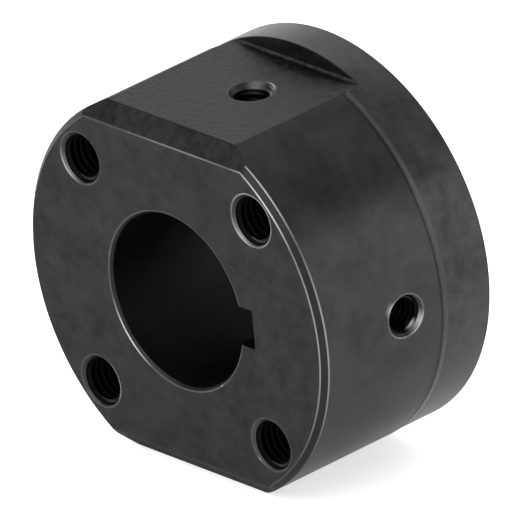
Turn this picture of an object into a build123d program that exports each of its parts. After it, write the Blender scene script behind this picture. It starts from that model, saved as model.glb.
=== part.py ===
"""Keyed spacer sleeve: one turned and milled piece of blackened steel.

The bore runs along Y, the front face looks towards -Y and +Z is square to the two flats.
Everything is drawn from the front face backwards, from Y = 0 to Y = length. At the end
the sleeve is moved forwards by half its length, so that the origin is the bore's middle.
"""
from build123d import *
import os

# Turned blank, in millimetres
outer_diameter = 80.0
length = 44.0
bore_diameter = 34.925
front_chamfer = 1.2
back_chamfer = 0.8
bore_chamfer = 0.6
rear_band_length = 12.5
rear_band_step = 0.15

# Two parallel flats, milled from the front and stopped at a full round flange
flat_depth = 4.0
flange_thickness = 8.5
cutter_corner_radius = 0.6
bevel_run = 3.0
bevel_drop = 3.5
edge_break = 0.25

# Keyway, broached along the +X side of the bore
keyway_width = 7.94
keyway_wall_from_axis = 21.1
keyway_corner_radius = 0.3

# Four tapped holes from face to face, drawn at the major diameter of their thread
bolt_edge_distance = 7.25
bolt_count = 4
first_bolt_angle = 45.0
bolt_major_diameter = 10.0
bolt_mouth_diameter = 10.6

# Two tapped holes for set screws: one breaks through into the keyway, one from the upper flat into the bore
screw_distance = 21.5
screw_major_diameter = 8.0
screw_mouth_diameter = 9.0
screw_break_through = 0.15
upper_screw_offset = 2.5

# The countersink of every tapped hole
mouth_angle = 90.0

# Sizes that follow from the ones above
outer_radius = outer_diameter / 2
rear_radius = outer_radius - rear_band_step
bore_radius = bore_diameter / 2
flat_height = outer_radius - flat_depth
bolt_circle_radius = outer_radius - bolt_edge_distance
bevel_foot = flat_height - bevel_drop
shoulder_distance = length - flange_thickness
band_distance = length - rear_band_length
side_screw_depth = outer_radius - keyway_wall_from_axis + screw_break_through


def turned_blank():
    """The round blank with its bore: a closed profile of radius and distance, turned about Y."""
    profile = Polyline(
        (bore_radius + bore_chamfer, 0),
        (outer_radius - front_chamfer, 0),
        (outer_radius, front_chamfer),
        (outer_radius, band_distance),
        (rear_radius, band_distance),
        (rear_radius, length - back_chamfer),
        (rear_radius - back_chamfer, length),
        (bore_radius + bore_chamfer, length),
        (bore_radius, length - bore_chamfer),
        (bore_radius, bore_chamfer),
        close=True,
    )
    return revolve(make_face(profile), Axis.Y)


def flat_cutter():
    """What the milling cutter takes off above the upper flat: a side view, drawn across the part."""
    overrun = front_chamfer
    clear_height = outer_radius + overrun
    side_view = Polyline(
        (-overrun, bevel_foot - overrun * bevel_drop / bevel_run),
        (bevel_run, flat_height),
        (shoulder_distance, flat_height),
        (shoulder_distance, clear_height),
        (-overrun, clear_height),
        close=True,
    )
    outline = make_face(side_view)
    shoulder_foot = outline.vertices().sort_by_distance((shoulder_distance, flat_height, 0))[0]
    outline = fillet(shoulder_foot, cutter_corner_radius)
    return extrude(Plane.YZ * outline, outer_radius, both=True)


def keyway_cutter():
    """The broached slot, from the middle of the bore out to the keyway's wall."""
    slot = Rectangle(keyway_wall_from_axis, keyway_width, align=(Align.MIN, Align.CENTER))
    slot = fillet(slot.vertices().group_by(Axis.X)[-1], keyway_corner_radius)
    return extrude(Plane.XZ * slot, -length)


def break_long_edges(body):
    """Takes the burr off the long edges where the flats meet the round."""
    lengthwise = body.edges().filter_by(Axis.Y).group_by(Axis.Z)
    long_edges = lengthwise[0] + lengthwise[-1]
    return chamfer(long_edges, edge_break)


def bolt_holes():
    """The tapped holes on their bolt circle, with a countersunk mouth at each face."""
    hole = CounterSinkHole(bolt_major_diameter / 2, bolt_mouth_diameter / 2, length, mouth_angle)
    circle = PolarLocations(bolt_circle_radius, bolt_count, start_angle=first_bolt_angle)
    from_front = [Plane.XZ * place * hole for place in circle]
    from_back = [mirror(tool, about=Plane.XZ.offset(-length / 2)) for tool in from_front]
    return from_front + from_back


def screw_hole(seat, depth):
    """One set screw hole with a countersunk mouth, drilled inwards from its seat."""
    return seat * CounterSinkHole(screw_major_diameter / 2, screw_mouth_diameter / 2, depth, mouth_angle)


side_seat = Plane((outer_radius, screw_distance, 0), x_dir=(0, 1, 0), z_dir=(1, 0, 0))
upper_seat = Plane((upper_screw_offset, screw_distance, flat_height), x_dir=(1, 0, 0), z_dir=(0, 0, 1))

upper_cutter = flat_cutter()
lower_cutter = mirror(upper_cutter, about=Plane.XY)
sleeve = turned_blank() - upper_cutter - lower_cutter
sleeve = break_long_edges(sleeve)
sleeve -= keyway_cutter()
sleeve -= bolt_holes()
sleeve -= screw_hole(side_seat, side_screw_depth)
sleeve -= screw_hole(upper_seat, flat_height)
sleeve = Pos(0, -length / 2, 0) * sleeve

os.makedirs("parts", exist_ok=True)
export_step(sleeve, "parts/sleeve.step")
print("volume, cubic centimetres:", round(sleeve.volume / 1000, 2))
print("solids:", len(sleeve.solids()), "faces:", len(sleeve.faces()), "valid:", sleeve.is_valid)
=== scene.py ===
# %% [markdown]
# # A blackened steel spacer sleeve
#
# The real object is one lump of steel: turned round, bored, milled flat on two sides,
# broached for a key, drilled, tapped, and last blackened in a hot oxide bath.
# This lesson makes it in Blender in the same order as the workshop does. Each cell takes
# one cut, so the marks and the sharp or worn edges land where the real tools leave them.

from math import cos, degrees, pi, radians, sin

import bmesh
import bpy
import numpy as np
from mathutils import Matrix, Vector


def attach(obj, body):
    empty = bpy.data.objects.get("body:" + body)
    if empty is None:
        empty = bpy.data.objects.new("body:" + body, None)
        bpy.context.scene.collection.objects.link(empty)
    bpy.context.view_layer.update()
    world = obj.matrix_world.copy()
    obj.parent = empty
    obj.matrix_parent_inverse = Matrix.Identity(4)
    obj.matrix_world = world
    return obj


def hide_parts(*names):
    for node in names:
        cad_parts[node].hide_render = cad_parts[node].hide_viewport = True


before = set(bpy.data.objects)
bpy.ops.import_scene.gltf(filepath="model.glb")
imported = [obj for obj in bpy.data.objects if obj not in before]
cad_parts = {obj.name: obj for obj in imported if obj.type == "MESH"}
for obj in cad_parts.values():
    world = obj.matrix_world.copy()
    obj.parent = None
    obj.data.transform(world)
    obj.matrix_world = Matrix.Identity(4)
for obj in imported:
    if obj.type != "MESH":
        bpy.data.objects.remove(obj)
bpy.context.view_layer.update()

# %% [markdown]
# ## The camera
#
# The photograph was taken from the front right and above, with a long lens, so parallel
# edges stay almost parallel. A lens of 1.5 m at a distance of 4 m gives the same view.
# The sleeve was laid on its lower flat. Its flange stands out below that flat, so the real
# sleeve leans a little. Here the part keeps its own upright frame, and the camera and the
# floor lean instead: that is why the camera has a roll.

# %% Place the camera
camera_azimuth = radians(48.367)
camera_elevation = radians(25.014)
camera_roll = radians(-5.18)
camera_distance = 4.0
view_width = 0.09628
sensor_width = 0.036
view_centre = Vector((0.008497, -0.008115, 0.006159))

level_right = Vector((cos(camera_azimuth), sin(camera_azimuth), 0))
towards_camera = Vector((
    sin(camera_azimuth) * cos(camera_elevation),
    -cos(camera_azimuth) * cos(camera_elevation),
    sin(camera_elevation),
))
level_up = towards_camera.cross(level_right)
camera_right = level_right * cos(camera_roll) + level_up * sin(camera_roll)
camera_up = towards_camera.cross(camera_right)

lens = bpy.data.cameras.new("long_lens")
lens.sensor_width = sensor_width * 1000
lens.lens = sensor_width * camera_distance / view_width * 1000
lens.clip_start = 0.1
lens.clip_end = 50.0
camera = bpy.data.objects.new("camera", lens)
turn = Matrix((camera_right, camera_up, towards_camera)).transposed()
camera.matrix_world = Matrix.Translation(view_centre + towards_camera * camera_distance) @ turn.to_4x4()
bpy.context.scene.collection.objects.link(camera)
bpy.context.scene.camera = camera
print("lens, mm:", round(lens.lens, 1))

# %% [markdown]
# ## The sizes
#
# These are the same sizes as in the solid model, in millimetres. The origin is the middle
# of the bore, the front face looks towards -Y and +Z is square to the two flats.
# The mesh is made in millimetres too, because rounding and welding work best near size 1,
# and it is brought to metres at the very end.

# %% Name the sizes
outer_radius = 40.0
half_length = 22.0
bore_radius = 17.4625
front_chamfer = 1.2
back_chamfer = 0.8
bore_chamfer = 0.6
rear_band_length = 12.5
rear_band_step = 0.15

flat_height = 36.0
flange_thickness = 8.5
cutter_corner_radius = 0.6
bevel_run = 3.0
bevel_drop = 3.5

keyway_width = 7.94
keyway_wall = 21.1
keyway_corner_radius = 0.3

bolt_circle_radius = 32.75
bolt_angles = [radians(45 + 90 * i) for i in range(4)]
bolt_thread = {"major": 5.0, "minor": 4.19, "pitch": 1.5, "mouth": 5.3}
screw_thread = {"major": 3.95, "minor": 3.32, "pitch": 1.25, "mouth": 4.5}
screw_y = 21.5 - half_length
upper_screw_x = 2.5

# %% [markdown]
# ## The finishes, as slots
#
# Every tool leaves its own finish, so each gets its own material. The materials are made
# empty here, in a fixed order, because every cutter below carries the same list: a
# Boolean then paints the new faces with the finish of the tool that cut them.

# %% List the finishes
finish_names = [
    "faced_steel", "turned_steel", "chamfered_steel", "bored_steel", "milled_steel",
    "milled_bevel_steel", "broached_steel", "countersunk_steel", "tapped_steel", "worn_and_highlight_edge_steel",
    "rounded_edge_steel", "rear_band_steel", "highlight_band_steel", "shaded_lower_bevel_steel",
]
finishes = {name: bpy.data.materials.new(name) for name in finish_names}
finish_index = {name: i for i, name in enumerate(finish_names)}
print("finishes:", len(finishes))

# %% [markdown]
# ## Two ways to sweep a profile
#
# A lathe carries a profile round an axis, and a mill carries one along a straight line.
# Both are surfaces of two parameters: a step along the profile and a step along the path.
# The whole grid of points comes from one numpy expression, and the faces join each point
# to its neighbours.

# %% Helpers for swept surfaces
def make_object(name, points, faces, face_finishes):
    """A mesh object from points, faces and one finish number per face, with its faces turned outwards."""
    mesh = bpy.data.meshes.new(name)
    mesh.from_pydata(np.asarray(points).tolist(), [], faces)
    for finish in finishes.values():
        mesh.materials.append(finish)
    mesh.polygons.foreach_set("material_index", np.asarray(face_finishes, np.int32))
    build = bmesh.new()
    build.from_mesh(mesh)
    bmesh.ops.recalc_face_normals(build, faces=build.faces)
    build.to_mesh(mesh)
    build.free()
    made = bpy.data.objects.new(name, mesh)
    bpy.context.scene.collection.objects.link(made)
    return made


def grid_faces(rows, columns, close_rows):
    """Four-sided faces between neighbouring rows. Columns always close, rows only where close_rows is set."""
    row = np.arange(rows if close_rows else rows - 1)[:, None]
    column = np.arange(columns)[None, :]
    next_row = (row + 1) % rows
    next_column = (column + 1) % columns
    corners = (row * columns + column, row * columns + next_column,
               next_row * columns + next_column, next_row * columns + column)
    return np.stack([np.broadcast_to(c, (len(row), columns)) for c in corners], -1).reshape(-1, 4)


def turned(name, profile, steps, closed=False):
    """A profile of rows (r, y, finish) carried round the Y axis: point = (r cos t, y, r sin t)."""
    r = np.array([p[0] for p in profile])[:, None]
    y = np.array([p[1] for p in profile])[:, None]
    t = np.linspace(0, 2 * pi, steps, endpoint=False)[None, :]
    points = np.stack([r * np.cos(t), y + 0 * t, r * np.sin(t)], -1).reshape(-1, 3)
    faces = grid_faces(len(profile), steps, closed).tolist()
    numbers = np.repeat([finish_index[p[2]] for p in profile], steps)[:len(faces)].tolist()
    if not closed:
        faces += [list(range(steps)), list(range(len(points) - steps, len(points)))]
        numbers += [numbers[0], numbers[-1]]
    return make_object(name, points, faces, numbers)


def milled(name, outline, start, end, place):
    """A closed outline of rows (u, v, finish) carried straight along a path: point = place(u, v, path)."""
    u = np.array([p[0] for p in outline])
    v = np.array([p[1] for p in outline])
    points = np.concatenate([place(u, v, np.full_like(u, path)) for path in (start, end)])
    count = len(outline)
    faces = grid_faces(2, count, False).tolist() + [list(range(count)), list(range(count, 2 * count))]
    numbers = [finish_index[p[2]] for p in outline]
    return make_object(name, points, faces, numbers + [numbers[0], numbers[0]])


def arc(centre, radius, start, end, steps):
    """Points of an arc from one angle to another, in degrees: centre + radius (cos a, sin a)."""
    a = np.radians(np.linspace(start, end, steps))
    return [(centre[0] + radius * float(np.cos(t)), centre[1] + radius * float(np.sin(t))) for t in a]


# %% [markdown]
# ## The turned blank
#
# On the lathe the bar is faced, turned to its diameter, bored, and chamfered at every
# corner. All of that is one closed profile of radius and distance, carried round the bore's
# axis in 252 steps, fine enough for a smooth outline. Near the back the diameter drops by
# a hair, where the bar was turned from its other end. That step is drawn as a short slope.
# Just in front of it runs a tool groove, shallower than a sheet of paper is thick, painted black
# as a line of painted shade. The strip from the groove to the step's foot is a painted highlight, a little
# lighter.

# %% Turn the blank
blank_steps = 252
band_y = half_length - rear_band_length
rear_radius = outer_radius - rear_band_step
step_slope = 0.5
groove_depth = 0.04
groove_slope = 0.15
groove_start, groove_end = band_y - 1.15, band_y - 0.55
blank_profile = [
    (bore_radius + bore_chamfer, -half_length, "faced_steel"),
    (outer_radius - front_chamfer, -half_length, "chamfered_steel"),
    (outer_radius, -half_length + front_chamfer, "turned_steel"),
    # the groove takes the darker rounded-edge finish: a painted line of shade
    (outer_radius, groove_start, "rounded_edge_steel"),
    (outer_radius - groove_depth, groove_start + groove_slope, "rounded_edge_steel"),
    (outer_radius - groove_depth, groove_end - groove_slope, "rounded_edge_steel"),
    # from here to the step's foot: a painted highlight, a little lighter than the round
    (outer_radius, groove_end, "highlight_band_steel"),
    (outer_radius, band_y, "highlight_band_steel"),
    (rear_radius, band_y + step_slope, "highlight_band_steel"),
    (rear_radius, band_y + 2 * step_slope, "rear_band_steel"),
    (rear_radius, half_length - back_chamfer, "chamfered_steel"),
    (rear_radius - back_chamfer, half_length, "faced_steel"),
    (bore_radius + bore_chamfer, half_length, "chamfered_steel"),
    (bore_radius, half_length - bore_chamfer, "bored_steel"),
    (bore_radius, -half_length + bore_chamfer, "chamfered_steel"),
]
sleeve = turned("blackened_sleeve", blank_profile, blank_steps, closed=True)
print("blank faces:", len(sleeve.data.polygons))

# %% [markdown]
# ## The milled flats
#
# A milling cutter came in from the front and stopped short of the back, which leaves a full
# round flange with a shoulder. The front edge of the flat is bevelled. One side view of
# what the cutter removes is carried across the part, once above and once mirrored below.
# The lower bevel has its own finish, painted blacker than the upper one: painted shade where it faces
# the shadowed floor. The shoulder's wall takes the upper bevel's finish, which is a little darker than the
# flat's: painted shade.

# %% Shape the flat cutters
shoulder_y = half_length - flange_thickness
flat_overrun = 2.0
slope = bevel_drop / bevel_run
foot_centre = (shoulder_y - cutter_corner_radius, flat_height + cutter_corner_radius)
foot = arc(foot_centre, cutter_corner_radius, -90, 0, steps=6)


def flat_outline(bevel_finish):
    """Side view (y, z) of what the cutter takes off: bevel, flat, rounded foot and shoulder."""
    return [
        (-half_length - flat_overrun, flat_height - bevel_drop - flat_overrun * slope, bevel_finish),
        (-half_length + bevel_run, flat_height, "milled_steel"),
        *[(y, z, "milled_steel") for y, z in foot[:-1]],
        # the shoulder wall takes the darker bevel finish: painted shade
        (*foot[-1], "milled_bevel_steel"),
        (shoulder_y, outer_radius + flat_overrun, "milled_steel"),
        (-half_length - flat_overrun, outer_radius + flat_overrun, "milled_steel"),
    ]


def across_above(u, v, path):
    """Side view (y, z) carried along x."""
    return np.stack([path, u, v], -1)


def across_below(u, v, path):
    """The same side view, mirrored to the lower side."""
    return np.stack([path, u, -v], -1)


cutters = [
    milled("flat_cutter_above", flat_outline("milled_bevel_steel"),
           -outer_radius, outer_radius, across_above),
    # the lower bevel gets a darker finish: painted shade
    milled("flat_cutter_below", flat_outline("shaded_lower_bevel_steel"),
           -outer_radius, outer_radius, across_below),
]

# %% [markdown]
# ## The keyway
#
# A broach is pulled through the bore and leaves a slot with a flat wall and small round
# corners. Its end view is carried along the bore, a little past both faces.

# %% Shape the broach
half_key = keyway_width / 2
corner_u = keyway_wall - keyway_corner_radius
corner_v = half_key - keyway_corner_radius
broach_outline = [
    (0.0, -half_key), *arc((corner_u, -corner_v), keyway_corner_radius, -90, 0, steps=5),
    *arc((corner_u, corner_v), keyway_corner_radius, 0, 90, steps=5), (0.0, half_key),
]
broach_outline = [(u, v, "broached_steel") for u, v in broach_outline]


def along_bore(u, v, path):
    """End view (x, z) carried along y."""
    return np.stack([u, path, v], -1)


broach_overrun = 1.0
broach_reach = half_length + broach_overrun
cutters.append(milled("broach", broach_outline, -broach_reach, broach_reach, along_bore))

# %% [markdown]
# ## The drilled and countersunk holes
#
# Each hole starts as a drilled hole, a little smaller than its thread, with a cone of 90
# degrees at its mouth. The drill and the cone are one turned tool. The four holes of the
# bolt circle have a cone at both ends, and the two set screw holes only outside.

# %% Shape the drills
drill_steps = 96
drill_slack = 0.25
tool_overrun = 1.0
side_drill_end, upper_drill_end = -15.0, -13.0


def drill(name, thread, start, end, cone_at_end):
    """A drill with a countersink at its start and, if asked, at its end, turned about its own axis."""
    pilot = thread["minor"] - drill_slack
    depth = thread["mouth"] - pilot
    wide = thread["mouth"] + tool_overrun
    profile = [(wide, start - tool_overrun, "countersunk_steel"), (pilot, start + depth, "tapped_steel")]
    if cone_at_end:
        profile += [(pilot, end - depth, "countersunk_steel")]
        profile += [(wide, end + tool_overrun, "countersunk_steel")]
    else:
        profile += [(pilot, end, "tapped_steel")]
    return turned(name, profile, drill_steps)


def place_tool(tool, matrix):
    """Moves a tool's points themselves, so that its object stays at the origin."""
    tool.data.transform(matrix)
    return tool


bolt_centres = [(bolt_circle_radius * cos(a), 0, bolt_circle_radius * sin(a)) for a in bolt_angles]
bolt_places = [Matrix.Translation(centre) for centre in bolt_centres]
# a tool starts at -y of its own frame: that end points to the part's +x side, or straight up
side_place = Matrix(((0, -1, 0, 0), (1, 0, 0, screw_y), (0, 0, 1, 0), (0, 0, 0, 1)))
upper_place = Matrix(((1, 0, 0, upper_screw_x), (0, 0, 1, screw_y), (0, -1, 0, 0), (0, 0, 0, 1)))
bolt_names = ["upper_right", "upper_left", "lower_left", "lower_right"]
for hole_name, place in zip(bolt_names, bolt_places):
    tool = drill("drill_" + hole_name, bolt_thread, -half_length, half_length, True)
    cutters.append(place_tool(tool, place))
side_drill = drill("drill_side", screw_thread, -outer_radius, side_drill_end, False)
upper_drill = drill("drill_upper", screw_thread, -flat_height, upper_drill_end, False)
cutters += [place_tool(side_drill, side_place), place_tool(upper_drill, upper_place)]
print("cutters before the taps:", len(cutters))

# %% [markdown]
# ## Cutting
#
# A Boolean modifier with the exact solver takes each tool away from the blank. After every
# cut the result becomes the new mesh and the tool is thrown away.

# %% Cut with every tool
def bake_modifiers(target):
    """Turns what the modifiers show into the object's own mesh."""
    shown = target.evaluated_get(bpy.context.evaluated_depsgraph_get())
    new_mesh = bpy.data.meshes.new_from_object(shown)
    target.modifiers.clear()
    old_mesh, target.data = target.data, new_mesh
    bpy.data.meshes.remove(old_mesh)


def cut(target, tool):
    """Takes the tool's volume away from the target and removes the tool."""
    boolean = target.modifiers.new("cut", "BOOLEAN")
    boolean.operation = "DIFFERENCE"
    boolean.solver = "EXACT"
    boolean.material_mode = "INDEX"
    boolean.object = tool
    bake_modifiers(target)
    tool_mesh = tool.data
    bpy.data.objects.remove(tool)
    bpy.data.meshes.remove(tool_mesh)


def faulty_edges(target):
    """How many edges don't lie between exactly two faces."""
    build = bmesh.new()
    build.from_mesh(target.data)
    faults = sum(1 for edge in build.edges if len(edge.link_faces) != 2)
    build.free()
    return faults


for tool in cutters:
    cut(sleeve, tool)
print("after the cuts:", len(sleeve.data.polygons), "faces, faulty edges:", faulty_edges(sleeve))

# %% [markdown]
# ## Breaking the edges
#
# No machined edge stays knife sharp: it is deburred. A Bevel modifier rounds every edge of
# more than 25 degrees, so that the bright lines along the edges are real geometry. The
# blackening wears off where hands and screws rub most: at the rim of the front face, at the
# face's straight edges and at the mouths of the bore and the holes. There the new faces
# get the worn finish, with patchy bare steel and spots of painted highlight, and everywhere else they stay
# black.
#
# Where a curved edge ends in a corner, its last point may lie so near the corner that
# two roundings would run into each other. Such points are first pulled into the corner.

# %% Round the edges
edge_radius = 0.18
edge_angle = radians(25)
rim_reach = 0.5


def clear_corners(target, reach):
    """Merges a curve's last point into a corner of three or more sharp edges that lies within reach."""
    build = bmesh.new()
    build.from_mesh(target.data)
    sharp = [edge for edge in build.edges if edge.calc_face_angle(0.0) > edge_angle]
    meeting = {}
    for edge in sharp:
        for point in edge.verts:
            meeting[point] = meeting.get(point, 0) + 1
    pulled = {}
    for edge in sharp:
        corner, other = sorted(edge.verts, key=meeting.get, reverse=True)
        if edge.calc_length() < reach and meeting[corner] > 2 and meeting[other] == 2:
            pulled[other] = corner
    bmesh.ops.weld_verts(build, targetmap=pulled)
    build.to_mesh(target.data)
    build.free()
    return len(pulled)


print("points pulled into corners:", clear_corners(sleeve, 2 * edge_radius))
rounding = sleeve.modifiers.new("edge_break", "BEVEL")
rounding.limit_method = "ANGLE"
rounding.angle_limit = edge_angle
rounding.width = edge_radius
rounding.segments = 3
rounding.use_clamp_overlap = False
rounding.material = finish_index["rounded_edge_steel"]
bake_modifiers(sleeve)


def distance_from(centres, point, axis):
    """Distance of each face centre from a line through a point, along one of the axes 0, 1, 2."""
    offset = np.delete(centres - np.asarray(point), axis, 1)
    return np.hypot(offset[:, 0], offset[:, 1])


def wear_and_highlight_rims(target):
    """Gives the rounded faces near the front rim, the face's chords and each mouth the worn finish, which
    also carries painted highlights.
    """
    count = len(target.data.polygons)
    centres, finish = np.empty(count * 3), np.empty(count, np.int32)
    target.data.polygons.foreach_get("center", centres)
    target.data.polygons.foreach_get("material_index", finish)
    centres = centres.reshape(-1, 3)
    radius = distance_from(centres, (0, 0, 0), 1)
    at_front = centres[:, 1] < -half_length + 2 * front_chamfer
    bevel_plane = flat_height - bevel_drop + (centres[:, 1] + half_length) * bevel_drop / bevel_run
    on_round = np.abs(centres[:, 2]) < bevel_plane - 2 * edge_radius
    near_rim = at_front & on_round & (radius > outer_radius - 1.5 * front_chamfer)
    near_chord = at_front & (np.abs(centres[:, 2] - (flat_height - bevel_drop)) < rim_reach)
    near_mouth = near_chord | at_front & (np.abs(radius - bore_radius - bore_chamfer) < rim_reach)
    for centre in bolt_centres:
        near_mouth |= at_front & (distance_from(centres, centre, 1) < bolt_thread["mouth"] + rim_reach)
    screw_reach = screw_thread["mouth"] + rim_reach
    outside = centres[:, 0] > outer_radius - tool_overrun
    near_mouth |= outside & (distance_from(centres, (0, screw_y, 0), 0) < screw_reach)
    on_flat = centres[:, 2] > flat_height - tool_overrun
    near_mouth |= on_flat & (distance_from(centres, (upper_screw_x, screw_y, 0), 2) < screw_reach)
    worn = (finish == finish_index["rounded_edge_steel"]) & (near_rim | near_mouth)
    finish[worn] = finish_index["worn_and_highlight_edge_steel"]
    target.data.polygons.foreach_set("material_index", finish)
    return int(worn.sum())


print("worn faces:", wear_and_highlight_rims(sleeve))
print("after rounding:", len(sleeve.data.polygons), "faces, faulty edges:", faulty_edges(sleeve))

# %% [markdown]
# ## Tapping the threads
#
# A tap's surface is one spiral staircase: four rows of points to each pitch, two on the
# flat crest and two on the flat root, and every row climbs by one pitch per turn. Where
# the last column meets the first again, it joins the row four further up. Cutting
# with this tool gives real threads, whose first turns fade out in the countersink. The
# tap is turned a little, so that none of its points lies right on one of the drill's.

# %% Shape the taps and cut
tap_turn = radians(1.7)
tap_lead = 3.0
side_tap_end, upper_tap_end = -15.0, -12.0
# how far up the pitch each row starts: two rows on the crest, two on the root
row_heights = np.array([0, 0.125, 0.4375, 0.6875])


def tap(name, thread, start, end, columns=72):
    """A tap: radius = major or minor by row, y = start + pitch (turns + row height + angle / full turn)."""
    pitch = thread["pitch"]
    turns = int(round((end - start) / pitch))
    radii = np.array([thread["major"], thread["major"], thread["minor"], thread["minor"]])
    rows = 4 * turns + 1
    k = np.arange(rows)
    height = pitch * (k // 4 + row_heights[k % 4])
    t = np.linspace(0, 2 * pi, columns, endpoint=False)
    r = radii[k % 4][:, None]
    y = start + height[:, None] + pitch * t[None, :] / (2 * pi)
    turn = t + tap_turn
    points = np.stack([r * np.cos(turn), y, -r * np.sin(turn)], -1).reshape(-1, 3)
    inner = grid_faces(rows, columns, False).reshape(rows - 1, columns, 4)[:, :-1].reshape(-1, 4)
    k = np.arange(rows - 5)
    last = columns - 1
    seam = [k * columns + last, (k + 4) * columns, (k + 5) * columns, (k + 1) * columns + last]
    faces = inner.tolist() + np.stack(seam, -1).tolist()
    tip, tail = len(points), len(points) + 1
    points = np.concatenate([points, [[0, start + pitch / 2, 0], [0, start + pitch * (turns + 0.5), 0]]])
    lower = list(range(columns)) + [n * columns for n in (4, 3, 2, 1)]
    upper = [(rows - 1) * columns + n for n in range(columns)]
    upper += [n * columns + last for n in range(rows - 2, rows - 6, -1)]
    faces += [[a, b, tip] for a, b in zip(lower, lower[1:] + lower[:1])]
    faces += [[a, b, tail] for a, b in zip(upper, upper[1:] + upper[:1])]
    return make_object(name, points, faces, [finish_index["tapped_steel"]] * len(faces))


tap_reach = half_length + tap_lead
for hole_name, place in zip(bolt_names, bolt_places):
    cut(sleeve, place_tool(tap("tap_" + hole_name, bolt_thread, -tap_reach, tap_reach), place))
cut(sleeve, place_tool(tap("tap_side", screw_thread, -outer_radius - tap_lead, side_tap_end), side_place))
cut(sleeve, place_tool(tap("tap_upper", screw_thread, -flat_height - tap_lead, upper_tap_end), upper_place))
print("after tapping:", len(sleeve.data.polygons), "faces, faulty edges:", faulty_edges(sleeve))

# %% [markdown]
# ## Smooth shading
#
# Round walls have to shade smoothly and real corners have to stay crisp. Edges of more than
# 32 degrees are marked sharp, and the Weighted Normal modifier lets the large faces
# decide the shading, so that a flat face stays flat right up to its rounded edge.

# %% Shade and bring to metres
sharp_angle = radians(32)
sleeve.data.polygons.foreach_set("use_smooth", np.ones(len(sleeve.data.polygons), bool))
sleeve.data.set_sharp_from_angle(angle=sharp_angle)
weighting = sleeve.modifiers.new("face_weight", "WEIGHTED_NORMAL")
weighting.keep_sharp = True
bake_modifiers(sleeve)
sleeve.data.transform(Matrix.Scale(0.001, 4))
sleeve.data.update()
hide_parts("sleeve")
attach(sleeve, "root")
triangles = sum(len(p.vertices) - 2 for p in sleeve.data.polygons)
print("triangles:", triangles, "size, mm:", [round(d * 1000, 2) for d in sleeve.dimensions])

# %% [markdown]
# ## Effects that several finishes share
#
# The black comes from a hot bath that turns the steel's skin into dark oxide. It isn't
# even: cloudy patches are a little lighter or greyer, and a fine grain lies over all of
# it. Both are node groups with named inputs, so each finish can use them in its own measure.

# %% Helpers for node groups
def new_group(name, inputs, outputs):
    """A shader node group with named sockets: inputs and outputs are (name, kind, default)."""
    group = bpy.data.node_groups.new(name, "ShaderNodeTree")
    for direction, sockets in (("INPUT", inputs), ("OUTPUT", outputs)):
        for socket_name, kind, default in sockets:
            made = group.interface.new_socket(
                name=socket_name, in_out=direction, socket_type="NodeSocket" + kind)
            if default is not None:
                made.default_value = default
    return group, group.nodes.new("NodeGroupInput"), group.nodes.new("NodeGroupOutput")


def add(tree, kind, **settings):
    """A node of the given kind with its properties set."""
    node = tree.nodes.new("ShaderNode" + kind)
    for key, value in settings.items():
        setattr(node, key, value)
    return node


def noise(tree, coordinates, scale, detail, roughness=0.5, distortion=0.0):
    """A noise texture on the given coordinates; scale may be a number or a socket."""
    node = add(tree, "TexNoise", noise_dimensions="3D")
    tree.links.new(coordinates, node.inputs["Vector"])
    for socket, value in (("Scale", scale), ("Detail", detail),
                          ("Roughness", roughness), ("Distortion", distortion)):
        if isinstance(value, (int, float)):
            node.inputs[socket].default_value = value
        else:
            tree.links.new(value, node.inputs[socket])
    return node


def remap(tree, value, from_low, from_high, to_low, to_high):
    """Maps a value from one range to another, held inside it."""
    node = add(tree, "MapRange")
    for socket, item in (("Value", value), ("From Min", from_low), ("From Max", from_high),
                         ("To Min", to_low), ("To Max", to_high)):
        if isinstance(item, (int, float)):
            node.inputs[socket].default_value = item
        else:
            tree.links.new(item, node.inputs[socket])
    return node.outputs["Result"]


# %% [markdown]
# ## Oxide clouds
#
# Two noises of different size, one of broad patches and one of small blotches, are
# blended. The result leads from a dark to a light tone of the oxide and moves the roughness.

# %% Build the oxide group
# the part of the noise's range that the tones are spread over
cloud_low, cloud_high = 0.33, 0.67
oxide, oxide_in, oxide_out = new_group(
    "oxide_clouds",
    [("Coordinates", "Vector", None),
     ("Dark", "Color", (0.03, 0.03, 0.031, 1)), ("Light", "Color", (0.06, 0.06, 0.062, 1)),
     ("Patch Scale", "Float", 60.0), ("Blotch Scale", "Float", 600.0), ("Blotch Share", "Float", 0.4),
     ("Smooth", "Float", 0.35), ("Rough", "Float", 0.5)],
    [("Color", "Color", None), ("Roughness", "Float", None), ("Clouds", "Float", None)],
)
place_in = oxide_in.outputs["Coordinates"]
patches = noise(oxide, place_in, oxide_in.outputs["Patch Scale"], detail=4.0, roughness=0.55, distortion=0.3)
blotches = noise(oxide, place_in, oxide_in.outputs["Blotch Scale"], detail=3.0, roughness=0.6)
blend = add(oxide, "Mix", data_type="FLOAT")
oxide.links.new(oxide_in.outputs["Blotch Share"], blend.inputs["Factor"])
oxide.links.new(patches.outputs["Fac"], blend.inputs[2])
oxide.links.new(blotches.outputs["Fac"], blend.inputs[3])
clouds = remap(oxide, blend.outputs[0], cloud_low, cloud_high, 0.0, 1.0)
tone = add(oxide, "Mix", data_type="RGBA")
oxide.links.new(clouds, tone.inputs["Factor"])
oxide.links.new(oxide_in.outputs["Dark"], tone.inputs[6])
oxide.links.new(oxide_in.outputs["Light"], tone.inputs[7])
oxide.links.new(tone.outputs[2], oxide_out.inputs["Color"])
oxide.links.new(remap(oxide, clouds, 0.0, 1.0, oxide_in.outputs["Smooth"], oxide_in.outputs["Rough"]),
                oxide_out.inputs["Roughness"])
oxide.links.new(clouds, oxide_out.inputs["Clouds"])

# %% [markdown]
# ## Tool lines
#
# A lathe tool leaves fine lines round the axis: circles on a face, rings on a diameter.
# Both are one noise of a single number, the radius on a face or the distance along the
# bore on a diameter, so the group only asks for that number and for the lines' spacing.

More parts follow.
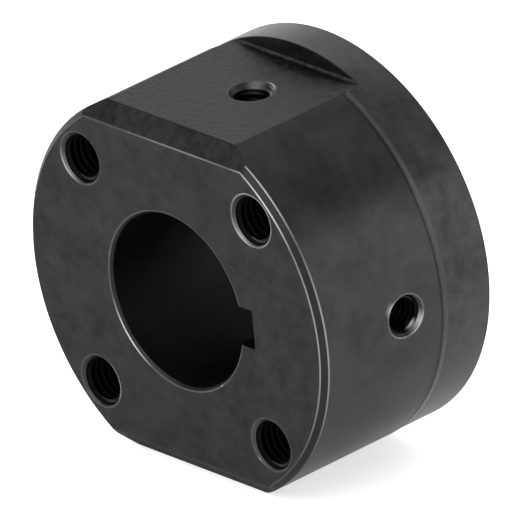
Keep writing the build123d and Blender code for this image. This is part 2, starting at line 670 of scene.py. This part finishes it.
# %% Build the tool line group
tool_lines, lines_in, lines_out = new_group(
    "tool_lines",
    [("Across", "Float", 0.0), ("Spacing", "Float", 0.0003)],
    [("Height", "Float", None)],
)
divide = add(tool_lines, "Math", operation="DIVIDE")
tool_lines.links.new(lines_in.outputs["Across"], divide.inputs[0])
tool_lines.links.new(lines_in.outputs["Spacing"], divide.inputs[1])
line_noise = add(tool_lines, "TexNoise", noise_dimensions="1D")
line_noise.inputs["Scale"].default_value = 1.0
line_noise.inputs["Detail"].default_value = 3.0
tool_lines.links.new(divide.outputs[0], line_noise.inputs["W"])
tool_lines.links.new(line_noise.outputs["Fac"], lines_out.inputs["Height"])

# %% [markdown]
# ## Bare metal and painted highlights
#
# Where fingers, boxes and other parts rub, the oxide goes and brighter steel shows. The
# first group gives a mask that is patchy, with an amount between no wear and full wear. The
# second is a round spot of bare steel that fades outwards. Such spots are painted highlights
# where rims and hole walls catch the light; on the rims they also stand for some real wear.

# %% Build the wear and highlight groups
# no wear leaves the noise below the threshold, and the softness is the width of a patch's edge
wear_threshold, wear_softness = 0.75, 0.12
# bare steel colour: for real wear, and at the spots for painted highlights
bare_and_highlight_steel = (0.34, 0.335, 0.33, 1)
wear, wear_in, wear_out = new_group(
    "rubbed_bare",
    [("Coordinates", "Vector", None), ("Amount", "Float", 0.5), ("Scale", "Float", 250.0)],
    [("Bare", "Float", None)],
)
rub = noise(wear, wear_in.outputs["Coordinates"], wear_in.outputs["Scale"], detail=4.0, roughness=0.65)
low = add(wear, "Math", operation="SUBTRACT")
low.inputs[0].default_value = wear_threshold
wear.links.new(wear_in.outputs["Amount"], low.inputs[1])
high = add(wear, "Math", operation="ADD")
high.inputs[1].default_value = wear_softness
wear.links.new(low.outputs[0], high.inputs[0])
rubbed = remap(wear, rub.outputs["Fac"], low.outputs[0], high.outputs[0], 0.0, 1.0)
wear.links.new(rubbed, wear_out.inputs["Bare"])

# a round spot of bare steel that fades outwards: a painted highlight
spot, spot_in, spot_out = new_group(
    "wear_and_highlight_spot",
    [("Coordinates", "Vector", None), ("Middle", "Vector", (0.0, 0.0, 0.0)), ("Reach", "Float", 0.005),
     ("Level", "Float", 1.0)],
    [("Wear And Highlight", "Float", None)],
)
away = add(spot, "VectorMath", operation="DISTANCE")
spot.links.new(spot_in.outputs["Coordinates"], away.inputs[0])
spot.links.new(spot_in.outputs["Middle"], away.inputs[1])
nearness = add(spot, "MapRange", interpolation_type="SMOOTHSTEP")
spot.links.new(away.outputs["Value"], nearness.inputs["Value"])
spot.links.new(spot_in.outputs["Reach"], nearness.inputs["From Max"])
spot.links.new(spot_in.outputs["Level"], nearness.inputs["To Min"])
nearness.inputs["To Max"].default_value = 0.0
spot.links.new(nearness.outputs["Result"], spot_out.inputs["Wear And Highlight"])

# %% [markdown]
# ## The finishes
#
# All finishes are built by one function with different values: how dark the oxide is, how
# rough, which way the tool lines run, how deep the grain is and how much steel is bare.
# The black is almost a metal: a dim tint at a straight look and a bright sheen at a
# grazing one, which is what draws the pale rim along the sleeve's lower right. The shader's
# specular tint holds that sheen back a little, and more in the holes, the bore, the keyway
# and on the lower bevel: there it is painted shade.

# %% Which way the tool lines run
def across_radius(tree, position):
    """Distance from the bore's axis."""
    split = add(tree, "SeparateXYZ")
    tree.links.new(position, split.inputs[0])
    square = [add(tree, "Math", operation="POWER") for _ in range(2)]
    for node, axis in zip(square, ("X", "Z")):
        node.inputs[1].default_value = 2.0
        tree.links.new(split.outputs[axis], node.inputs[0])
    total = add(tree, "Math", operation="ADD")
    tree.links.new(square[0].outputs[0], total.inputs[0])
    tree.links.new(square[1].outputs[0], total.inputs[1])
    root = add(tree, "Math", operation="SQRT")
    tree.links.new(total.outputs[0], root.inputs[0])
    return root.outputs[0]


def across_axis(axis):
    """Distance along one of the part's axes."""
    def pick(tree, position):
        split = add(tree, "SeparateXYZ")
        tree.links.new(position, split.inputs[0])
        return split.outputs[axis]
    return pick


along_y = across_axis("Y")
along_x = across_axis("X")


# %% One recipe for every finish
def spotted(tree, position, mask, spots):
    """The mask made full inside the spots of painted highlight: the largest of the mask and every spot."""
    for middle, reach, level in spots:
        node = add(tree, "Group", node_tree=spot)
        tree.links.new(position, node.inputs["Coordinates"])
        node.inputs["Middle"].default_value = [c / 1000 for c in middle]
        node.inputs["Reach"].default_value = reach / 1000
        node.inputs["Level"].default_value = level
        larger = add(tree, "Math", operation="MAXIMUM")
        tree.links.new(mask, larger.inputs[0])
        tree.links.new(node.outputs["Wear And Highlight"], larger.inputs[1])
        mask = larger.outputs[0]
    return mask


def build_finish(name, tones, roughness, tool_lines_of, grain_of, blotches=(600.0, 0.4), patch_scale=60.0,
                 edge_tint=0.72, bare=0.0, spots=()):
    """One finish: oxide tones, tool lines, grain and bare patches on a metal shader.

    tones and roughness go from dark oxide to light oxide, tool_lines_of is (across, spacing,
    depth), grain_of is (scale, depth) and blotches is (scale, share). Depths are in metres.
    """
    dark, light = tones
    across, spacing, line_depth = tool_lines_of
    grain_scale, grain_depth = grain_of
    material = finishes[name]
    material.use_nodes = True
    tree = material.node_tree
    shader = tree.nodes["Principled BSDF"]
    position = add(tree, "TexCoord").outputs["Object"]
    clouds_node = add(tree, "Group", node_tree=oxide)
    tree.links.new(position, clouds_node.inputs["Coordinates"])
    clouds_node.inputs["Dark"].default_value = (dark, dark, dark * blue_cast, 1)
    clouds_node.inputs["Light"].default_value = (light, light, light * blue_cast, 1)
    clouds_node.inputs["Smooth"].default_value, clouds_node.inputs["Rough"].default_value = roughness
    clouds_node.inputs["Blotch Scale"].default_value = blotches[0]
    clouds_node.inputs["Blotch Share"].default_value = blotches[1]
    clouds_node.inputs["Patch Scale"].default_value = patch_scale
    color = clouds_node.outputs["Color"]
    if bare or spots:
        bare_node = add(tree, "Group", node_tree=wear)
        tree.links.new(position, bare_node.inputs["Coordinates"])
        bare_node.inputs["Amount"].default_value = bare
        mix = add(tree, "Mix", data_type="RGBA")
        tree.links.new(spotted(tree, position, bare_node.outputs["Bare"], spots), mix.inputs["Factor"])
        tree.links.new(color, mix.inputs[6])
        mix.inputs[7].default_value = bare_and_highlight_steel
        color = mix.outputs[2]
    tree.links.new(color, shader.inputs["Base Color"])
    tree.links.new(clouds_node.outputs["Roughness"], shader.inputs["Roughness"])
    shader.inputs["Metallic"].default_value = 1.0
    shader.inputs["Specular Tint"].default_value = (edge_tint, edge_tint, edge_tint, 1)
    lines_node = add(tree, "Group", node_tree=tool_lines)
    tree.links.new(across(tree, position), lines_node.inputs["Across"])
    lines_node.inputs["Spacing"].default_value = spacing
    line_bump = add(tree, "Bump")
    line_bump.inputs["Strength"].default_value = 1.0
    line_bump.inputs["Distance"].default_value = line_depth
    tree.links.new(lines_node.outputs["Height"], line_bump.inputs["Height"])
    grain = noise(tree, position, grain_scale, detail=3.0, roughness=0.6)
    grain_bump = add(tree, "Bump")
    grain_bump.inputs["Strength"].default_value = 1.0
    grain_bump.inputs["Distance"].default_value = grain_depth
    tree.links.new(grain.outputs["Fac"], grain_bump.inputs["Height"])
    tree.links.new(line_bump.outputs["Normal"], grain_bump.inputs["Normal"])
    tree.links.new(grain_bump.outputs["Normal"], shader.inputs["Normal"])


blue_cast = 1.03

# %% [markdown]
# ## Finishes of the lathe
#
# The face was turned with lines round the axis, the diameter with rings along it. The strip
# behind the groove is painted a little lighter, a painted highlight, and the bore is painted dark, a painted
# shade. Tones are the share of light that the oxide throws back at a straight look. Window glass throws back
# 0.04.
# Just beside the side hole a spot of bare steel is painted on the round: a painted highlight
# beside the hole's rim. Such a spot has its middle and its reach in millimetres, and how far the steel is
# bare in its middle.

# %% Turned, faced, chamfered and bored
fine_grain = (2500, 0.00002)
face_lines = (across_radius, 0.0004, 0.000006)
ring_lines = (along_y, 0.0004, 0.000006)
chamfer_lines = (across_radius, 0.0003, 0.000006)
turned_roughness = (0.31, 0.41)
# a painted highlight on the round beside the side hole
burr_highlight_spots = [((outer_radius, -3.7, 2.2), 2.1, 0.9)]
build_finish("faced_steel", (0.0165, 0.0340), (0.40, 0.48), face_lines, fine_grain,
             blotches=(420.0, 0.5), patch_scale=150.0)
build_finish("turned_steel", (0.0255, 0.0435), turned_roughness, ring_lines, fine_grain,
             blotches=(420.0, 0.35), patch_scale=90.0, spots=burr_highlight_spots)
build_finish("rear_band_steel", (0.029, 0.055), turned_roughness, ring_lines, fine_grain,
             blotches=(420.0, 0.45), patch_scale=120.0, edge_tint=0.8)
# a painted highlight along the strip behind the groove
build_finish("highlight_band_steel", (0.036, 0.054), turned_roughness, ring_lines, fine_grain, edge_tint=0.8)
build_finish("chamfered_steel", (0.017, 0.025), (0.36, 0.44), chamfer_lines, fine_grain)
# the bore is painted very dark and its sheen held back: painted shade inside the bore
build_finish("bored_steel", (0.010, 0.014), (0.45, 0.55), ring_lines, fine_grain, edge_tint=0.6)
print("finishes of the lathe: 6")

# %% [markdown]
# ## Finishes of the mill and the broach
#
# The flats are the liveliest faces of the part: a coarse mottled grain over the cutter's
# lines, with blotches of light and dark oxide about 1.5 mm wide.

# %% Milled and broached
milling_lines = (along_x, 0.0006, 0.000010)
milled_roughness = (0.40, 0.52)
build_finish("milled_steel", (0.014, 0.046), milled_roughness, milling_lines, (1100, 0.00012),
             blotches=(700.0, 0.75))
build_finish("milled_bevel_steel", (0.015, 0.034), milled_roughness, milling_lines, (1100, 0.00008),
             blotches=(700.0, 0.7))
# painted shade on the lower bevel, with its sheen held back
build_finish("shaded_lower_bevel_steel", (0.007, 0.013), milled_roughness, milling_lines, (1100, 0.00008),
             edge_tint=0.5)
# the keyway is painted very dark and its sheen held back: painted shade inside the bore
build_finish("broached_steel", (0.007, 0.011), (0.42, 0.50), (along_x, 0.0005, 0.00001), fine_grain,
             edge_tint=0.5)
print("finishes of the mill and the broach: 4")

# %% [markdown]
# ## Finishes of the holes and the edges
#
# The rims are bright in some places and black in others. Each spot below paints bare steel
# where a rim or a hole wall catches the light: a painted highlight, on the rims partly real
# wear too. The side hole has two painted bright crescents, one on its countersink and one on the first crest
# of its thread.

# %% Countersunk, tapped, worn and rounded, with painted highlights
front, side, top = -half_length, outer_radius, flat_height
# painted highlights along the rims, which also stand for some real wear
rim_wear_and_highlight_spots = [
    ((28.0, front, 27.5), 15.0, 1.0),       # upper end of the rim
    ((39.5, front + 1.0, 4.0), 40.0, 0.5),  # the rest of the rim
    ((0.0, front, 0.0), 90.0, 0.1),         # every other edge of the face, faintly
    ((6.0, front, 32.5), 22.0, 0.3),        # edge between the face and the upper bevel
    ((19.5, front, 18.5), 6.5, 0.7),        # upper right hole
    ((-27.5, front, 20.0), 5.5, 0.7),       # upper left hole
    ((-18.3, front, -22.0), 6.0, 1.0),      # lower left hole
    ((-14.2, front, -11.1), 10.0, 1.0),     # bore, lower left
    ((side, 2.9, -3.1), 4.2, 1.0),          # side hole, lower right
    ((side, -3.6, 2.5), 3.0, 1.0),          # side hole, upper left
    ((3.7, 3.8, top), 2.4, 1.0),            # upper hole, far right
]
# painted highlights on the countersinks and on far walls of the holes
cone_highlight_spots = [
    ((side - 0.4, 2.9, -3.1), 3.6, 1.0),
    ((side - 0.4, -3.6, 2.5), 2.4, 1.0),
    ((-0.3, 2.0, top - 0.6), 4.5, 0.06),
    ((4.6, 3.3, top - 0.4), 2.6, 0.4),
    ((19.5, front, 18.5), 6.0, 0.3),
    ((-27.5, front, 20.0), 5.0, 0.2),
    ((-18.3, front, -22.0), 5.0, 0.3),
    ((20.0, front, -21.0), 9.0, 0.06),
]
# painted highlights on the first crests of the threads
crest_highlight_spots = [
    ((side - 1.0, 1.6, -2.9), 1.8, 1.0),
    ((-0.3, 2.0, top - 0.7), 3.4, 0.2),
    ((4.9, 2.0, top - 1.2), 2.4, 0.8),
]
smooth_grain = (2500, 0.00001)
cone_lines, thread_lines = (across_radius, 0.0003, 0.000004), (along_y, 0.0005, 0.000004)
edge_lines, edge_grain = (along_y, 0.0005, 0.000002), (2500, 0.000004)
build_finish("countersunk_steel", (0.028, 0.040), (0.38, 0.46), cone_lines, smooth_grain,
             spots=cone_highlight_spots)
# the threads are painted almost black and their sheen held back: painted shade inside the holes
build_finish("tapped_steel", (0.003, 0.006), (0.42, 0.50), thread_lines, smooth_grain,
             edge_tint=0.35, spots=crest_highlight_spots)
build_finish("worn_and_highlight_edge_steel", (0.03, 0.05), (0.32, 0.42), edge_lines, edge_grain,
             bare=0.14, spots=rim_wear_and_highlight_spots)
build_finish("rounded_edge_steel", (0.020, 0.028), (0.40, 0.48), edge_lines, edge_grain)
print("finishes in all:", len(finishes))

# %% [markdown]
# ## The floor
#
# The sleeve stands on two lines: the front edge of its lower flat and the lower edge of
# its flange. The floor is the plane through both, so it leans by almost 7 degrees in the
# part's frame. It is a wide pale dish whose rim curves up far away, so that every
# view ends in the same pale ground. Shops photograph such parts on a sheet that is lit from
# below, which drowns the shadow, so the sheet glows a little by itself.

# %% Make the floor
contact_front = Vector((0, -half_length + bevel_run, -flat_height)) / 1000
contact_back = Vector((0, shoulder_y, -rear_radius)) / 1000
floor_along = (contact_back - contact_front).normalized()
floor_right = Vector((1, 0, 0))
floor_normal = floor_right.cross(floor_along)
floor_drop = 0.00002
rings, spokes = 60, 96
dish_radius, flat_radius, rim_curve = 6.0, 3.5, 0.35
rho = dish_radius * np.linspace(0, 1, rings + 1)[1:, None] ** 2
theta = np.linspace(0, 2 * pi, spokes, endpoint=False)[None, :]
rise = np.clip(rho - flat_radius, 0, None) ** 2 * rim_curve + 0 * theta
flat_grid = np.stack([rho * np.cos(theta), rho * np.sin(theta), rise], -1).reshape(-1, 3)
axes = np.array([floor_right, floor_along, floor_normal])
floor_origin = np.array(contact_front.lerp(contact_back, 0.5) - floor_normal * floor_drop)
floor_points = np.concatenate([flat_grid, [[0, 0, 0]]]) @ axes + floor_origin
floor_faces = grid_faces(rings, spokes, False).tolist()
floor_faces += [[n, (n + 1) % spokes, rings * spokes] for n in range(spokes)]
floor_mesh = bpy.data.meshes.new("pale_floor")
floor_mesh.from_pydata(floor_points.tolist(), [], floor_faces)
floor_mesh.polygons.foreach_set("use_smooth", np.ones(len(floor_faces), bool))
floor = bpy.data.objects.new("pale_floor", floor_mesh)
bpy.context.scene.collection.objects.link(floor)
paper = bpy.data.materials.new("pale_paper")
paper.use_nodes = True
paper_shader = paper.node_tree.nodes["Principled BSDF"]
paper_shader.inputs["Base Color"].default_value = (0.86, 0.86, 0.86, 1)
paper_shader.inputs["Roughness"].default_value = 0.9
paper_shader.inputs["Specular IOR Level"].default_value = 0.1
paper_shader.inputs["Emission Color"].default_value = (1, 1, 1, 1)
paper_shader.inputs["Emission Strength"].default_value = 0.6
floor_mesh.materials.append(paper)
print("floor leans by", round(degrees(floor_normal.angle(Vector((0, 0, 1)))), 2), "degrees")

# %% [markdown]
# ## The light
#
# Black oxide shows almost nothing but reflections, so the room itself is the light: soft
# lamps on a dim wall, each of them a round glow that fades towards its edge. Azimuths run
# from the part's +X side towards its back. A low window at the right draws the pale lower
# half of the round, lamps at the back light the upper flat and the flange, and the ceiling
# lights the floor. The room stays dark where the upper half of the round looks, which
# gives the photograph's dark band.

# %% Light the room
glow, glow_in, glow_out = new_group(
    "wall_glow",
    [("Look", "Vector", None), ("Middle", "Vector", (0.0, 0.0, 1.0)), ("Outer", "Float", 0.9),
     ("Inner", "Float", 0.98), ("Strength", "Float", 1.0)],
    [("Light", "Float", None)],
)
closeness = add(glow, "VectorMath", operation="DOT_PRODUCT")
glow.links.new(glow_in.outputs["Look"], closeness.inputs[0])
glow.links.new(glow_in.outputs["Middle"], closeness.inputs[1])
fade = add(glow, "MapRange", interpolation_type="SMOOTHSTEP")
for socket, source in (("Value", closeness.outputs["Value"]), ("From Min", glow_in.outputs["Outer"]),
                       ("From Max", glow_in.outputs["Inner"]), ("To Max", glow_in.outputs["Strength"])):
    glow.links.new(source, fade.inputs[socket])
glow.links.new(fade.outputs["Result"], glow_out.inputs["Light"])

dim_wall = 0.08
full_light = 0.35  # share of a lamp's half width that is fully lit
# for each group of lamps: elevation and half width in degrees, then azimuth and strength of every lamp
soft_lamps = {
    "window at the right": (8, 22, {30: 4.25, 60: 3.25}),
    "dim sides of the window": (8, 22, {0: 0.25, 90: 0.5}),
    "wall at the left": (8, 22, {150: 1.25, 180: 1.0, 210: 1.0, 240: 1.0}),
    "dim wall by the camera": (8, 22, {270: 0.75, 300: 0.5, 330: 0.25}),
    "lamps at the back": (35, 24, {72: 1.25, 108: 1.25, 144: 1.75}),
    "lamps at the front left": (35, 24, {252: 1.5, 288: 2.75}),
    "ceiling": (62, 28, {120: 0.75, 240: 2.0, 300: 2.75}),
}
world = bpy.data.worlds.new("soft_room")
bpy.context.scene.world = world
world.use_nodes = True
room = world.node_tree
background = room.nodes["Background"]
look = add(room, "VectorMath", operation="NORMALIZE")
room.links.new(add(room, "TexCoord").outputs["Generated"], look.inputs[0])
brightness = None
lamps = [(radians(azimuth), radians(elevation), radians(half_width), strength)
         for elevation, half_width, places in soft_lamps.values() for azimuth, strength in places.items()]
for a, e, half_width, strength in lamps:
    patch = add(room, "Group", node_tree=glow)
    room.links.new(look.outputs[0], patch.inputs["Look"])
    patch.inputs["Middle"].default_value = (cos(e) * cos(a), cos(e) * sin(a), sin(e))
    patch.inputs["Outer"].default_value = cos(half_width)
    patch.inputs["Inner"].default_value = cos(half_width * full_light)
    patch.inputs["Strength"].default_value = strength
    total = add(room, "Math", operation="ADD")
    room.links.new(patch.outputs["Light"], total.inputs[0])
    if brightness is None:
        total.inputs[1].default_value = dim_wall
    else:
        room.links.new(brightness, total.inputs[1])
    brightness = total.outputs[0]
room.links.new(brightness, background.inputs["Strength"])
background.inputs["Color"].default_value = (1, 1, 1, 1)
print("soft lamps:", len(lamps))
bpy.context.scene.view_settings.view_transform = "Standard"
